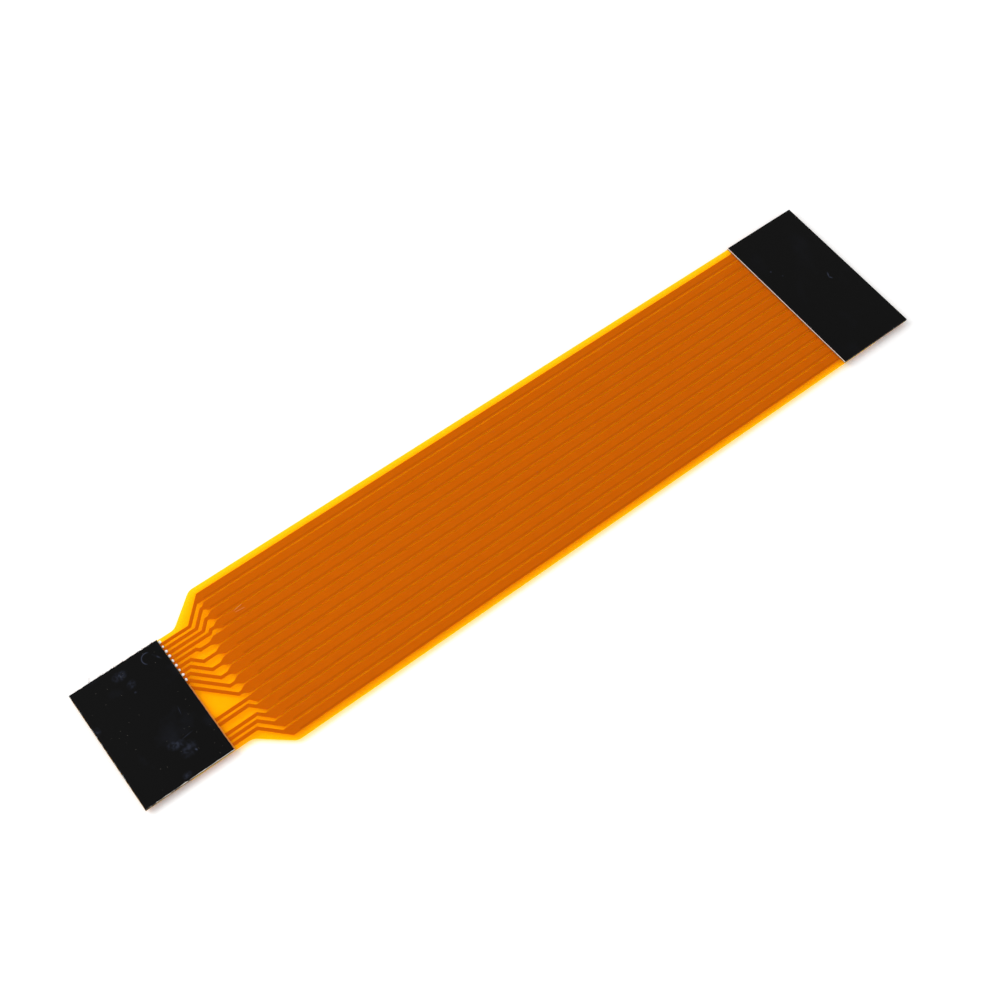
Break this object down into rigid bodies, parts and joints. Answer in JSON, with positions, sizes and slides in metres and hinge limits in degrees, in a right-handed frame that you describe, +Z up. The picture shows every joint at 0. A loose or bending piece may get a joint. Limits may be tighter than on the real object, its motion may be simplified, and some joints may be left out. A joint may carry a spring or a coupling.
{
  "type": "flat flex cable",
  "caption": "Flat amber flexible printed cable with etched copper lines, a narrow neck at one end and a black stiffened contact row at each end.",
  "frame": {"origin": "under the middle of the cable, on the face of the coverlay that it rests on", "axes": "+X along the cable from the narrow end to the wide end, +Y across it towards line 1, +Z up through the layers to the stiffeners"},
  "size_m": [0.08, 0.016, 0.0004],
  "materials": {
    "base_film": "clear amber polyimide film, smooth",
    "coverlay": "clear amber polyimide film with acrylic adhesive",
    "conductor": "rolled copper, gold plated where it is bare",
    "stiffener": "black glass-epoxy board, satin, cut edges pale",
    "adhesive": "thin bonding sheet"
  },
  "bodies": {
    "root": {"base_film": "base_film", "coverlay": "coverlay", "narrow_stiffener": "stiffener", "wide_stiffener": "stiffener", "narrow_stiffener_adhesive": "adhesive", "wide_stiffener_adhesive": "adhesive", "conductor_01": "conductor", "conductor_02": "conductor", "conductor_03": "conductor", "conductor_04": "conductor", "conductor_05": "conductor", "conductor_06": "conductor", "conductor_07": "conductor", "conductor_08": "conductor", "conductor_09": "conductor", "conductor_10": "conductor", "conductor_11": "conductor", "conductor_12": "conductor", "conductor_13": "conductor", "conductor_14": "conductor", "conductor_15": "conductor", "spare_contact_11": "conductor", "spare_contact_12": "conductor", "spare_contact_13": "conductor", "spare_contact_14": "conductor", "spare_contact_15": "conductor", "spare_contact_16": "conductor", "spare_contact_19": "conductor"}
  },
  "joints": []
}
